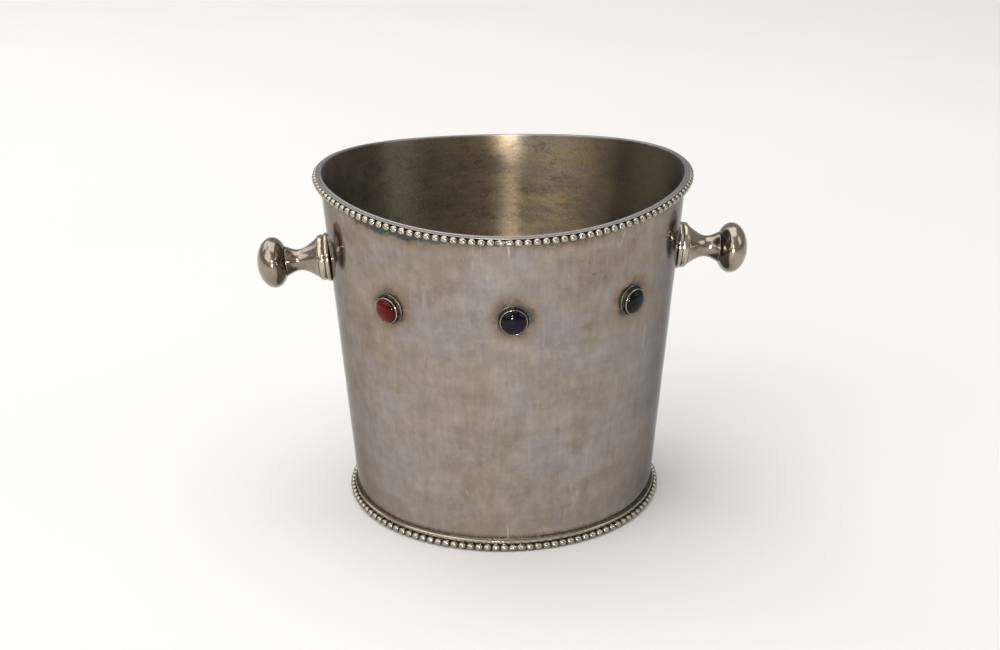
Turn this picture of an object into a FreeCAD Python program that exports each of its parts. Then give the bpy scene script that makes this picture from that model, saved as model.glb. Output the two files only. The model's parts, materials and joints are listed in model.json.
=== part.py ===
"""Silver champagne bucket: a tapered, slightly oval bucket with a saddle-shaped beaded rim, a beaded
foot, a turned knob handle at each end and six cabochon stones in collets.

Frame: millimetres, +Z up, +X along the handles. The origin is on the table under the bucket's centre.
Sections are drawn with (outward, up) points for swept rings and (along, radius) points for turned
pieces, and "along" runs out of the wall.
"""

import FreeCAD
import Part
import math
import os

Vector = FreeCAD.Vector
UP = Vector(0, 0, 1)
ALONG = Vector(1, 0, 0)
ORIGIN = Vector(0, 0, 0)

# Bucket wall, measured over its outer face
RIM_LENGTH = 218.0          # along X, at the rim's mean height
RIM_WIDTH = 204.0           # along Y, at the rim's mean height
BASE_LENGTH = 186.8         # along X, at the table
BASE_WIDTH = 174.8          # along Y, at the table
RIM_HEIGHT = 206.0          # mean height of the rim
RIM_RISE = 4.4              # the rim is this much higher at the handles, and lower between them
WALL_THICKNESS = 1.2
WALL_BOTTOM = 1.0           # height of the wall's lower edge above the table
LIP_ROUND = 0.45            # rounding of the wall's upper edge

# Base pan, a plate with a turned-down edge, soldered inside the wall
PAN_FLOOR = 7.4
PAN_THICKNESS = 1.4
PAN_EDGE_BOTTOM = 1.6
PAN_EDGE_THICKNESS = 1.6

# Bead wire, the same round wire with turned beads at the rim and at the foot
BEAD_RADIUS = 2.05
BEAD_PITCH = 5.07           # closed up or opened a little to fit a whole number of beads
WIRE_CORE_RADIUS = 1.15
BEAD_SEAT = 0.35            # how far the beads are let into the strips that they are soldered to

# Rim moulding, an L-shaped strip round the outside of the wall's upper edge
MOULDING_DROP = 0.2        # the flange starts this far below the wall's upper edge
MOULDING_LEG = 0.5          # thickness of the leg behind the beads
MOULDING_HEIGHT = 4.8
RIM_FLANGE_REACH = 2.3          # how far the flange stands out from the wall
RIM_FLANGE_FALL = 0.25          # how far the flange falls from the wall to its outer edge
RIM_FLANGE_THICKNESS = 0.4

# Foot ring, a moulded strip round the bottom of the wall
FOOT_HEIGHT = 7.5
FOOT_LEG = 1.6              # thickness of the leg behind the beads
FOOT_REACH = 2.3            # how far the lip above the beads stands out from the wall
FOOT_LIP_TOP = 6.3
FOOT_LIP_BOTTOM = 4.25
FOOT_LIP_WIDTH = 1.1
FOOT_LIP_STEP = 0.4         # the lip stands this much above the hollow behind it
FOOT_BEAD_LIFT = 0.15       # clearance between the foot's beads and the table
FOOT_TRIM = 1.0             # what is trimmed off under the ring to leave it flat

# The handles and the stones are set out on a line that is a little lower at the left
FITTINGS_SLOPE = 0.8        # degrees

# Knob handles, turned in pieces that are stacked on a stud
HANDLE_HEIGHT = 157.2       # halfway between the places where the two axes meet the wall
HANDLE_TILT = 5.0           # degrees that the handle slopes down, outwards
HANDLE_FLANGE_DIAMETER = 29.8
HANDLE_FLANGE_LENGTH = 2.5
COLLAR_DIAMETER = 28.0
COLLAR_LENGTH = 3.9
NECK_LENGTH = 20.4
NECK_FOOT_DIAMETER = 25.6
NECK_SHOULDER_PLACE = 4.4   # from the neck's foot
NECK_SHOULDER_DIAMETER = 19.2
NECK_WAIST_PLACE = 12.2     # from the neck's foot
NECK_WAIST_DIAMETER = 12.8
NECK_TOP_DIAMETER = 18.2
KNOB_DIAMETER = 30.8
KNOB_BACK = 7.4             # from the neck to the knob's widest place
KNOB_FRONT = 10.0           # from the widest place to the knob's end
CROWN = 0.5                 # how much the flange and the collar bulge between their edges
GROOVE_DEPTH = 0.5          # grooves between the stacked pieces
GROOVE_WIDTH = 0.5

# Stud, washer and nut that hold each handle from inside the bucket
STUD_DIAMETER = 5.0
STUD_DEPTH = 9.0            # how far the stud goes into the knob
STUD_CLEARANCE = 0.05       # round the stud in the pieces that it passes through
STUD_END_GAP = 0.3          # left free at the closed ends of the knob's and the nut's holes
WASHER_DIAMETER = 14.0
WASHER_THICKNESS = 1.0
NUT_ACROSS_FLATS = 8.0
NUT_HEIGHT = 4.0
NUT_DOME = 2.2

# Stones and their collets
STONE_HEIGHT = 151.2        # halfway along the line of stones
STONE_SPACING = 43.0        # degrees from the middle of a face to its outer stones, seen from above
STONE_DIAMETER = 14.7
STONE_GIRDLE = 1.0          # height of the stone's straight edge
STONE_DOME = 3.8            # height of the dome above the girdle
STONE_CLEARANCE = 0.05      # round the stone in its collet
COLLET_BASE_DIAMETER = 18.4
COLLET_LIP_DIAMETER = 15.8
COLLET_HEIGHT = 3.2
COLLET_LEDGE = 1.5          # height of the ledge that the stone sits on
COLLET_HOLE_DIAMETER = 10.5

PATH_POINTS = 48            # points through which a path round the oval is drawn
CUT_MARGIN = 30.0           # how far cutting shapes reach past what they cut
QUARTER_ARC_MIDDLE = 1 - math.sqrt(0.5)     # where a quarter arc's middle lies between its ends


# ---------------------------------------------------------------- drawing helpers

def outline(start, moves):
    """A closed wire in the XZ plane. A move is (end,) for a line or (middle, end) for an arc."""
    edges = []
    here = Vector(start[0], 0, start[1])
    for move in moves + [(start,)]:
        points = [Vector(x, 0, z) for x, z in move]
        if len(points) == 2:
            edges.append(Part.Arc(here, points[0], points[1]).toShape())
        elif here.distanceToPoint(points[0]) > 1e-6:
            edges.append(Part.makeLine(here, points[0]))
        here = points[-1]
    return Part.Wire(edges)


def turned(wire):
    """A solid of revolution about the X axis."""
    return Part.Face(wire).revolve(ORIGIN, ALONG, 360)


def turned_under(edges):
    """A solid of revolution between the X axis and a chain of edges that runs along it."""
    first = edges[0].valueAt(edges[0].FirstParameter)
    last = edges[-1].valueAt(edges[-1].LastParameter)
    chain = list(edges)
    for end in (first, last):
        if abs(end.z) > 1e-6:
            chain.append(Part.makeLine(Vector(end.x, 0, 0), end))
    chain.append(Part.makeLine(Vector(first.x, 0, 0), Vector(last.x, 0, 0)))
    return turned(Part.Wire(Part.__sortEdges__(chain)))


def rod(start, end, diameter):
    return Part.makeCylinder(diameter / 2, end - start, Vector(start, 0, 0), ALONG)


def oval_arc(centre, half_length, radius, start, end):
    """Part of an ellipse about (centre, 0); its angles run from the widest place towards +X."""
    angles = (start, (start + end) / 2, end)
    points = [Vector(math.sin(angle), 0, math.cos(angle)) for angle in angles]
    scale = FreeCAD.Matrix()
    scale.scale(half_length, 1.0, radius)
    arc = Part.Arc(*points).toShape().transformGeometry(scale).Edges[0]
    arc.translate(Vector(centre, 0, 0))
    return arc


def oval_wire(half_length, half_width, height):
    """A level ellipse that starts on +X."""
    scale = FreeCAD.Matrix()
    scale.scale(half_length, half_width, 1.0)
    edge = Part.makeCircle(1.0).transformGeometry(scale).Edges[0]
    edge.translate(Vector(0, 0, height))
    return Part.Wire([edge])


# ---------------------------------------------------------------- the bucket's own shape

def wall_half_axes(height):
    """Half length and half width of the wall's outer face at a height."""
    share = height / RIM_HEIGHT
    half_length = (BASE_LENGTH + (RIM_LENGTH - BASE_LENGTH) * share) / 2
    half_width = (BASE_WIDTH + (RIM_WIDTH - BASE_WIDTH) * share) / 2
    return half_length, half_width


def wall_place(angle, height):
    """A point on the wall's outer face and the level direction out of it.

    The angle is the oval's own, from +X: the point is (half length * cos, half width * sin).
    """
    half_length, half_width = wall_half_axes(height)
    point = Vector(half_length * math.cos(angle), half_width * math.sin(angle), height)
    outward = Vector(half_width * math.cos(angle), half_length * math.sin(angle), 0).normalize()
    return point, outward


def filled_wall(low, high, inset):
    """The solid inside a face that lies `inset` within the wall's outer face."""
    wires = []
    for height in (low, high):
        half_length, half_width = wall_half_axes(height)
        wires.append(oval_wire(half_length - inset, half_width - inset, height))
    return Part.makeLoft(wires, True, True)


def rim_height(angle):
    return RIM_HEIGHT + RIM_RISE * math.cos(2 * angle)


def rim_saddle_tool():
    """Everything above the rim's saddle surface."""
    reach_x = RIM_LENGTH / 2 + CUT_MARGIN
    reach_y = RIM_WIDTH / 2 + CUT_MARGIN
    rise_x = RIM_RISE * (reach_x / (RIM_LENGTH / 2)) ** 2
    rise_y = RIM_RISE * (reach_y / (RIM_WIDTH / 2)) ** 2
    patch = Part.BezierSurface()
    patch.increase(2, 2)
    for i, part_x in enumerate((1, -1, 1)):
        for j, part_y in enumerate((1, -1, 1)):
            place = Vector((i - 1) * reach_x, (j - 1) * reach_y, RIM_HEIGHT)
            place.z += part_x * rise_x - part_y * rise_y
            patch.setPole(i + 1, j + 1, place)
    return patch.toShape().extrude(UP * (CUT_MARGIN + 4 * (rise_x + rise_y)))


def round_the_oval(outward, height_at):
    """A smooth closed path beside the wall; height_at(angle) gives each point's height.

    The path keeps `outward` from the wall's outer face at the reference height.
    """
    points = []
    for i in range(PATH_POINTS):
        angle = 2 * math.pi * i / PATH_POINTS
        reference, height = height_at(angle)
        point, direction = wall_place(angle, reference)
        point += direction * outward
        points.append(Vector(point.x, point.y, height))
    curve = Part.BSplineCurve()
    curve.interpolate(Points=points, PeriodicFlag=True)
    return curve.toShape()


def rim_path(outward, down):
    return round_the_oval(outward, lambda angle: (rim_height(angle), rim_height(angle) - down))


def foot_path(outward, height):
    return round_the_oval(outward, lambda angle: (0, height))


def swept_ring(path, section):
    """A ring whose upright section keeps its shape along a closed path that starts on +X."""
    start = path.valueAt(path.FirstParameter)
    placed = section.copy()
    placed.translate(start)
    sweep = Part.BRepOffsetAPI.MakePipeShell(Part.Wire([path]))
    sweep.setBiNormalMode(UP)
    sweep.add(placed)
    sweep.build()
    sweep.makeSolid()
    return Part.Solid(sweep.shape())


def turned_to(shape, axis, seam, place):
    """Moves a shape from the origin so that its +Z points along `axis` and its +X along `seam`."""
    shape.Placement = FreeCAD.Placement(place, FreeCAD.Rotation(seam, axis.cross(seam), axis, "ZXY"))
    return shape


def bead_wire(path):
    """Beads at an even pitch along a closed path, with flats at their backs and a core between them."""
    count = round(path.Length / BEAD_PITCH)
    centres = path.discretize(Number=count + 1)[:count]
    seat_angle = -math.degrees(math.asin((BEAD_RADIUS - BEAD_SEAT) / BEAD_RADIUS))
    beads = []
    links = []
    for centre, following in zip(centres, centres[1:] + centres[:1]):
        outward = path.tangentAt(path.Curve.parameter(centre)).cross(UP).normalize()
        bead = Part.makeSphere(BEAD_RADIUS, ORIGIN, UP, seat_angle, 90, 360)
        beads.append(turned_to(bead, outward, -UP, centre))
        step = (following - centre).normalize()
        link = Part.makeCylinder(WIRE_CORE_RADIUS, following.distanceToPoint(centre) - BEAD_RADIUS)
        links.append(turned_to(link, step, step.cross(outward), centre + step * (BEAD_RADIUS / 2)))
    return beads[0].fuse(beads[1:] + links)


# ---------------------------------------------------------------- bucket

def body_wall():
    outer = filled_wall(WALL_BOTTOM, RIM_HEIGHT + CUT_MARGIN, 0)
    inner = filled_wall(0, RIM_HEIGHT + 2 * CUT_MARGIN, WALL_THICKNESS)
    wall = outer.cut(inner).cut(rim_saddle_tool())
    lowest_rim = RIM_HEIGHT - 1.5 * RIM_RISE
    top_edges = [edge for edge in wall.Edges if edge.BoundBox.ZMin > lowest_rim]
    wall = wall.makeFillet(LIP_ROUND, top_edges)
    for side in (1, -1):
        wall = wall.cut(placed_on_handle(stud_hole(-CUT_MARGIN, CUT_MARGIN), side))
    return wall


def base_pan():
    pan = filled_wall(PAN_EDGE_BOTTOM, PAN_FLOOR, WALL_THICKNESS)
    hollow = filled_wall(0, PAN_FLOOR - PAN_THICKNESS, WALL_THICKNESS + PAN_EDGE_THICKNESS)
    return pan.cut(hollow)


def rim_moulding(wall_core):
    back = -WALL_THICKNESS / 2
    section = outline((back, 0), [
        ((0, 0),),
        ((RIM_FLANGE_REACH, -RIM_FLANGE_FALL),),
        ((RIM_FLANGE_REACH, -RIM_FLANGE_FALL - RIM_FLANGE_THICKNESS),),
        ((MOULDING_LEG, -RIM_FLANGE_FALL - RIM_FLANGE_THICKNESS),),
        ((MOULDING_LEG, -MOULDING_HEIGHT),),
        ((back, -MOULDING_HEIGHT),),
    ])
    return swept_ring(rim_path(0, MOULDING_DROP), section).cut(wall_core)


def rim_bead_wire():
    outward = MOULDING_LEG + BEAD_RADIUS - BEAD_SEAT
    down = MOULDING_DROP + RIM_FLANGE_FALL + RIM_FLANGE_THICKNESS + BEAD_RADIUS
    return bead_wire(rim_path(outward, down))


def below_the_table():
    side = 2 * RIM_LENGTH
    return Part.makeBox(side, side, CUT_MARGIN, Vector(-side / 2, -side / 2, -CUT_MARGIN))


def foot_ring(wall_core):
    back = -WALL_THICKNESS / 2
    lip_radius = FOOT_LIP_WIDTH / 2
    lip_back = FOOT_REACH - FOOT_LIP_WIDTH
    hollow = FOOT_LIP_TOP - FOOT_LIP_STEP
    lean = wall_half_axes(FOOT_HEIGHT)[0] - BASE_LENGTH / 2
    sweep_middle = (
        lean + (lip_back - lean) * QUARTER_ARC_MIDDLE,
        hollow + (FOOT_HEIGHT - hollow) * QUARTER_ARC_MIDDLE,
    )
    section = outline((back, -FOOT_TRIM), [
        ((FOOT_LEG, -FOOT_TRIM),),
        ((FOOT_LEG, FOOT_LIP_BOTTOM),),
        ((FOOT_REACH, FOOT_LIP_BOTTOM),),
        ((FOOT_REACH, FOOT_LIP_TOP - lip_radius),),
        ((FOOT_REACH - lip_radius, FOOT_LIP_TOP), (lip_back, FOOT_LIP_TOP - lip_radius)),
        ((lip_back, hollow),),
        (sweep_middle, (lean, FOOT_HEIGHT)),
        ((back, FOOT_HEIGHT),),
    ])
    return swept_ring(foot_path(0, 0), section).cut([wall_core, below_the_table()])


def foot_bead_wire():
    outward = FOOT_LEG + BEAD_RADIUS - BEAD_SEAT
    return bead_wire(foot_path(outward, BEAD_RADIUS + FOOT_BEAD_LIFT))


# ---------------------------------------------------------------- handles

def fitting_height(middle_height, x):
    """Height of a handle's or a stone's place at a distance from the bucket's middle."""
    return middle_height + x * math.tan(math.radians(FITTINGS_SLOPE))


COLLAR_START = HANDLE_FLANGE_LENGTH
NECK_START = COLLAR_START + COLLAR_LENGTH
KNOB_START = NECK_START + NECK_LENGTH
NUT_FACE = -WALL_THICKNESS - WASHER_THICKNESS
STUD_START = NUT_FACE - NUT_HEIGHT
STUD_END = KNOB_START + STUD_DEPTH


def placed_on_handle(shape, side):
    """Moves a shape from the handle's frame (+X out of the wall) to the +X or the -X handle."""
    placed = shape.copy()
    placed.rotate(ORIGIN, Vector(0, 1, 0), HANDLE_TILT)
    height = fitting_height(HANDLE_HEIGHT, side * wall_half_axes(HANDLE_HEIGHT)[0])
    placed.translate(wall_place(0, height)[0])
    if side < 0:
        placed.rotate(ORIGIN, UP, 180)
    return placed


def stud_hole(start, end):
    return rod(start, end, STUD_DIAMETER + 2 * STUD_CLEARANCE)


def crowned_ring(back, start, end, diameter):
    """A ring from `back` to `end` that bulges from `start`, with a groove at its outer end."""
    radius = diameter / 2
    edge = radius - CROWN
    bulge_end = end - GROOVE_WIDTH
    return turned(outline((back, 0), [
        ((back, edge),),
        ((start, edge),),
        (((start + bulge_end) / 2, radius), (bulge_end, edge)),
        ((bulge_end, edge - GROOVE_DEPTH),),
        ((end, edge - GROOVE_DEPTH),),
        ((end, 0),),
    ]))


def handle_flange(wall_core, side):
    back = -WALL_THICKNESS - HANDLE_FLANGE_DIAMETER / 4
    ring = crowned_ring(back, 0, HANDLE_FLANGE_LENGTH, HANDLE_FLANGE_DIAMETER)
    return placed_on_handle(ring.cut(stud_hole(2 * back, CUT_MARGIN)), side).cut(wall_core)


def handle_collar(side):
    ring = crowned_ring(COLLAR_START, COLLAR_START, NECK_START, COLLAR_DIAMETER)
    return placed_on_handle(ring.cut(stud_hole(0, CUT_MARGIN)), side)


def handle_neck(side):
    knots = (
        (0, NECK_FOOT_DIAMETER),
        (NECK_SHOULDER_PLACE, NECK_SHOULDER_DIAMETER),
        (NECK_WAIST_PLACE, NECK_WAIST_DIAMETER),
        (NECK_LENGTH - GROOVE_WIDTH, NECK_TOP_DIAMETER),
    )
    curve = Part.BSplineCurve()
    curve.interpolate([Vector(NECK_START + along, 0, width / 2) for along, width in knots])
    groove = rod(KNOB_START - GROOVE_WIDTH, KNOB_START, NECK_TOP_DIAMETER - 2 * GROOVE_DEPTH)
    neck = turned_under([curve.toShape()]).fuse(groove).cut(stud_hole(0, STUD_END))
    return placed_on_handle(neck, side)


def handle_knob(side):
    widest = KNOB_START + KNOB_BACK
    radius = KNOB_DIAMETER / 2
    start = math.acos(NECK_TOP_DIAMETER / KNOB_DIAMETER)
    back_half_length = KNOB_BACK / math.sin(start)
    knob = turned_under([
        oval_arc(widest, back_half_length, radius, -start, 0),
        oval_arc(widest, KNOB_FRONT, radius, 0, math.pi / 2),
    ])
    return placed_on_handle(knob.cut(rod(0, STUD_END + STUD_END_GAP, STUD_DIAMETER)), side)


def handle_stud(side):
    return placed_on_handle(rod(STUD_START, STUD_END, STUD_DIAMETER), side)


def handle_washer(inner_core, side):
    """A washer whose outer face is formed to the inside of the wall."""
    disc = rod(NUT_FACE, 0, WASHER_DIAMETER).cut(stud_hole(2 * NUT_FACE, CUT_MARGIN))
    return placed_on_handle(disc, side).common(inner_core)


def handle_nut(side):
    corner = NUT_ACROSS_FLATS / math.sqrt(3)
    angles = [math.radians(60 * i) for i in range(7)]
    corners = [Vector(NUT_FACE, corner * math.cos(a), corner * math.sin(a)) for a in angles]
    hexagon = Part.Face(Part.makePolygon(corners)).extrude(ALONG * -NUT_HEIGHT)
    dome = turned_under([oval_arc(STUD_START, NUT_DOME, NUT_ACROSS_FLATS / 2, -math.pi / 2, 0)])
    hole = rod(STUD_START - STUD_END_GAP, NUT_FACE, STUD_DIAMETER)
    return placed_on_handle(hexagon.fuse(dome).cut(hole), side)


# ---------------------------------------------------------------- stones

def placed_on_wall(shape, degrees):
    """Moves a shape from a frame with +X out of the wall to a stone's place.

    The degrees are seen from above, from -Y (the front) towards +X.
    """
    half_length, half_width = wall_half_axes(STONE_HEIGHT)
    turn = math.radians(degrees - 90)
    angle = math.atan2(half_length * math.sin(turn), half_width * math.cos(turn))
    height = fitting_height(STONE_HEIGHT, half_length * math.cos(angle))
    point, outward = wall_place(angle, height)
    higher = wall_place(angle, height + 1)[0]
    lean = math.degrees(math.atan((higher - point).dot(outward)))
    placed = shape.copy()
    placed.rotate(ORIGIN, Vector(0, 1, 0), lean)
    placed.rotate(ORIGIN, UP, math.degrees(math.atan2(outward.y, outward.x)))
    placed.translate(point)
    return placed


def dome_radius(height):
    """Radius of the stone at a height above its girdle."""
    return STONE_DIAMETER / 2 * math.sqrt(1 - (height / STONE_DOME) ** 2)


def collet(wall_core, degrees):
    back = -COLLET_BASE_DIAMETER / 4
    hole = COLLET_HOLE_DIAMETER / 2
    seat = STONE_DIAMETER / 2 + STONE_CLEARANCE
    girdle_top = COLLET_LEDGE + STONE_GIRDLE
    mouth = dome_radius(COLLET_HEIGHT - girdle_top) + STONE_CLEARANCE
    section = outline((back, hole), [
        ((back, COLLET_BASE_DIAMETER / 2),),
        ((0, COLLET_BASE_DIAMETER / 2),),
        ((COLLET_HEIGHT, COLLET_LIP_DIAMETER / 2),),
        ((COLLET_HEIGHT, mouth),),
        ((girdle_top, seat),),
        ((COLLET_LEDGE, seat),),
        ((COLLET_LEDGE, hole),),
    ])
    return placed_on_wall(turned(section), degrees).cut(wall_core)


def stone(degrees):
    radius = STONE_DIAMETER / 2
    girdle_top = COLLET_LEDGE + STONE_GIRDLE
    girdle = Part.makeLine(Vector(COLLET_LEDGE, 0, radius), Vector(girdle_top, 0, radius))
    dome = oval_arc(girdle_top, STONE_DOME, radius, 0, math.pi / 2)
    return placed_on_wall(turned_under([girdle, dome]), degrees)


# ---------------------------------------------------------------- the whole bucket

def build():
    wall_core = filled_wall(-CUT_MARGIN, RIM_HEIGHT + CUT_MARGIN, 0)
    inner_core = filled_wall(-CUT_MARGIN, RIM_HEIGHT + CUT_MARGIN, WALL_THICKNESS)
    nodes = {
        "body_wall": body_wall(),
        "base_pan": base_pan(),
        "rim_moulding": rim_moulding(wall_core),
        "rim_bead_wire": rim_bead_wire(),
        "foot_ring": foot_ring(wall_core),
        "foot_bead_wire": foot_bead_wire(),
    }
    for name, side in (("left", -1), ("right", 1)):
        nodes[name + "_handle_flange"] = handle_flange(wall_core, side)
        nodes[name + "_handle_collar"] = handle_collar(side)
        nodes[name + "_handle_neck"] = handle_neck(side)
        nodes[name + "_handle_knob"] = handle_knob(side)
        nodes[name + "_handle_stud"] = handle_stud(side)
        nodes[name + "_handle_washer"] = handle_washer(inner_core, side)
        nodes[name + "_handle_nut"] = handle_nut(side)
    for face, middle, way in (("front", 0, 1), ("back", 180, -1)):
        for place, step in (("left", -1), ("centre", 0), ("right", 1)):
            degrees = middle + way * step * STONE_SPACING
            nodes[face + "_" + place + "_collet"] = collet(wall_core, degrees)
            nodes[face + "_" + place + "_stone"] = stone(degrees)
    return nodes


def save(name, shape):
    """Writes one node, which must be one sound solid."""
    if len(shape.Solids) != 1 or not shape.Solids[0].isValid():
        raise RuntimeError(name + " is not one sound solid")
    shape.Solids[0].exportStep("parts/" + name + ".step")


os.makedirs("parts", exist_ok=True)
for node, solid in build().items():
    save(node, solid)
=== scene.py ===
"""Looks of the silver champagne bucket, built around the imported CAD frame. Metres, +Z up, front on -Y."""

import json
import math

import bmesh
import bpy
import numpy as np
from mathutils import Matrix, Vector, noise


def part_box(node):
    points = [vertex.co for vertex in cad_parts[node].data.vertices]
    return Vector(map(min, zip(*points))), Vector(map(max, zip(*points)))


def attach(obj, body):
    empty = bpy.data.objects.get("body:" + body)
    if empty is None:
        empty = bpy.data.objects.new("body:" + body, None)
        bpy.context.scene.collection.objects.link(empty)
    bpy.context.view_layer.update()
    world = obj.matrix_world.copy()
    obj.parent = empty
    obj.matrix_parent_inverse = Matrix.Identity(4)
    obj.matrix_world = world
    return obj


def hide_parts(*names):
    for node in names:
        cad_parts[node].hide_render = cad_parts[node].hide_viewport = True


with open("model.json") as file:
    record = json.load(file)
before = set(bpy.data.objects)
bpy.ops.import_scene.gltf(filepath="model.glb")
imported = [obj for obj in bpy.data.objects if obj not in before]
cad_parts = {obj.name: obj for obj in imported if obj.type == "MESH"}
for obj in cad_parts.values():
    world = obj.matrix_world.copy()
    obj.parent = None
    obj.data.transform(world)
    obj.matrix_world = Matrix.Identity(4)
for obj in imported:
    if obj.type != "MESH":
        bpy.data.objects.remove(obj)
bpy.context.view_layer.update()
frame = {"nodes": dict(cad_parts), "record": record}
NODES = frame["nodes"]
MM = 0.001
UP = Vector((0, 0, 1))
RNG = np.random.default_rng(41)


# ---------------------------------------------------------------- sizes read from the frame

def touch(node, start, direction):
    """Where a ray first meets a CAD node."""
    hit, place, _, _ = NODES[node].ray_cast(Vector(start), Vector(direction).normalized())
    if not hit:
        raise ValueError(f"a ray misses {node}")
    return place


def centre_of(node):
    """Middle of a CAD node's box."""
    low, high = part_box(node)
    return (low + high) / 2


LOW_LEVEL, HIGH_LEVEL = 0.030, 0.190          # two heights where the wall has nothing on its inside


def half_axis_line(axis, outside):
    """Half axis of the wall's face along X or Y as (value at height 0, growth per metre of height)."""
    found = []
    for level in (LOW_LEVEL, HIGH_LEVEL):
        start = Vector((0, 0, level))
        direction = Vector((0, 0, 0))
        direction[axis] = 1.0
        if outside:
            start[axis] = 0.5
            direction[axis] = -1.0
        found.append(touch("body_wall", start, direction)[axis])
    growth = (found[1] - found[0]) / (HIGH_LEVEL - LOW_LEVEL)
    return found[0] - growth * LOW_LEVEL, growth


OUTER = (half_axis_line(0, True), half_axis_line(1, True))
INNER = (half_axis_line(0, False), half_axis_line(1, False))
WALL = OUTER[0][0] - INNER[0][0]
WALL_LOW, WALL_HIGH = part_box("body_wall")
LIP_MIDDLE = INNER[1][0] + INNER[1][1] * WALL_HIGH.z + WALL / 2 - 0.2 * MM     # Y of the lip at X = 0
LOWEST_RIM = touch("body_wall", (0, LIP_MIDDLE, 0.3), (0, 0, -1)).z
RIM_MEAN = (WALL_HIGH.z + LOWEST_RIM) / 2
RIM_RISE = (WALL_HIGH.z - LOWEST_RIM) / 2


def half_axes(height, inset=0.0):
    """Half length and half width of the wall's outer face at a height, or `inset` within it."""
    return tuple(start + growth * height - inset for start, growth in OUTER)


def wall_place(angle, height, inset=0.0):
    """A point on the wall's outer face, or `inset` within it, and the level direction out of it."""
    a, b = half_axes(height)
    outward = Vector((b * math.cos(angle), a * math.sin(angle), 0)).normalized()
    a, b = half_axes(height, inset)
    return Vector((a * math.cos(angle), b * math.sin(angle), height)), outward


def rim_height(angle):
    """Height of the wall's top edge: a saddle, highest at the handles."""
    return RIM_MEAN + RIM_RISE * math.cos(2 * angle)


BEAD_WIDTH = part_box("foot_bead_wire")[1].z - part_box("foot_bead_wire")[0].z
RIM_TO_BEADS = rim_height(0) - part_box("rim_bead_wire")[1].z + BEAD_WIDTH      # lip to the beads' lower side

STONES = [f"{face}_{place}" for face in ("front", "back") for place in ("left", "centre", "right")]
SIDES = ("left", "right")

# ---------------------------------------------------------------- mesh helpers


def ring_grid(points):
    """Vertices and quads of a torus-like grid; points[i][j] wraps round in both directions."""
    rows, columns = len(points), len(points[0])
    vertices = [p for row in points for p in row]
    faces = []
    for i in range(rows):
        for j in range(columns):
            k, m = (i + 1) % rows, (j + 1) % columns
            faces.append((i * columns + j, k * columns + j, k * columns + m, i * columns + m))
    return vertices, faces


def add_attribute(mesh, name, values):
    attribute = mesh.attributes.new(name, "FLOAT", "POINT")
    attribute.data.foreach_set("value", np.asarray(values, np.float32))


def smooth_step(x):
    x = np.clip(x, 0, 1)
    return x * x * (3 - 2 * x)


# ---------------------------------------------------------------- material helpers

class Nodes:
    """A short way to write a shader: each call adds a node and links what it is given."""

    def __init__(self, name):
        self.material = bpy.data.materials.new(name)
        self.material.use_nodes = True
        self.tree = self.material.node_tree
        self.shader = self.tree.nodes["Principled BSDF"]
        self.place = self.add("ShaderNodeTexCoord").outputs["Object"]

    def add(self, kind, inputs=(), **settings):
        node = self.tree.nodes.new(kind)
        for key, value in settings.items():
            setattr(node, key, value)
        for key, value in dict(inputs).items():
            self.put(node.inputs[key], value)
        return node

    def put(self, socket, value):
        if isinstance(value, bpy.types.NodeSocket):
            self.tree.links.new(value, socket)
        else:
            socket.default_value = value

    def attribute(self, name):
        return self.add("ShaderNodeAttribute", attribute_name=name).outputs["Fac"]

    def along(self, axis):
        """Distance along X, Y or Z from the middle of the bucket's foot."""
        return self.add("ShaderNodeSeparateXYZ", {"Vector": self.place}).outputs[axis]

    def scaled(self, scale, turn=(0, 0, 0)):
        node = self.add("ShaderNodeMapping", {"Vector": self.place, "Scale": scale, "Rotation": turn})
        return node.outputs["Vector"]

    def noise(self, size, detail=4.0, rough=0.55, stretch=(1, 1, 1), turn=(0, 0, 0), distortion=0.0):
        """Noise with features of about `size` metres, from 0 to 1."""
        vector = self.scaled(tuple(s / size for s in stretch), turn)
        node = self.add("ShaderNodeTexNoise", {
            "Vector": vector, "Scale": 1.0, "Detail": detail, "Roughness": rough, "Distortion": distortion})
        return node.outputs["Fac"]

    def ramp(self, value, low, high, smooth=True):
        """0 below low, 1 above high."""
        node = self.add("ShaderNodeMapRange", {"Value": value, "From Min": low, "From Max": high},
                        interpolation_type="SMOOTHSTEP" if smooth else "LINEAR", clamp=True)
        return node.outputs["Result"]

    def spread(self, value, low, high, to_low, to_high):
        """A value from low to high as one from to_low to to_high."""
        node = self.add("ShaderNodeMapRange", {
            "Value": value, "From Min": low, "From Max": high,
            "To Min": to_low, "To Max": to_high}, clamp=True)
        return node.outputs["Result"]

    def math(self, operation, a, b=0.0, clamp=False):
        node = self.add("ShaderNodeMath", {0: a, 1: b}, operation=operation, use_clamp=clamp)
        return node.outputs["Value"]

    def mix(self, share, a, b, blend="MIX"):
        node = self.add("ShaderNodeMix", data_type="RGBA", blend_type=blend)
        colours = [s for s in node.inputs if s.type == "RGBA"]
        self.put(node.inputs["Factor"], share)
        for socket, value in zip(colours, (a, b)):
            self.put(socket, value if isinstance(value, bpy.types.NodeSocket) else (*value, 1.0))
        return next(s for s in node.outputs if s.type == "RGBA")

    def falling(self, value, low, high):
        """1 below low, 0 above high."""
        return self.math("SUBTRACT", 1.0, self.ramp(value, low, high))

    def grey(self, value):
        node = self.add("ShaderNodeCombineColor", {"Red": value, "Green": value, "Blue": value})
        return node.outputs["Color"]

    def bump(self, height, strength, distance, normal=None):
        inputs = {"Height": height, "Strength": strength, "Distance": distance}
        if normal is not None:
            inputs["Normal"] = normal
        return self.add("ShaderNodeBump", inputs).outputs["Normal"]

    def set(self, **values):
        for key, value in values.items():
            self.put(self.shader.inputs[key.replace("_", " ")], value)
        return self.material


# ---------------------------------------------------------------- materials

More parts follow.
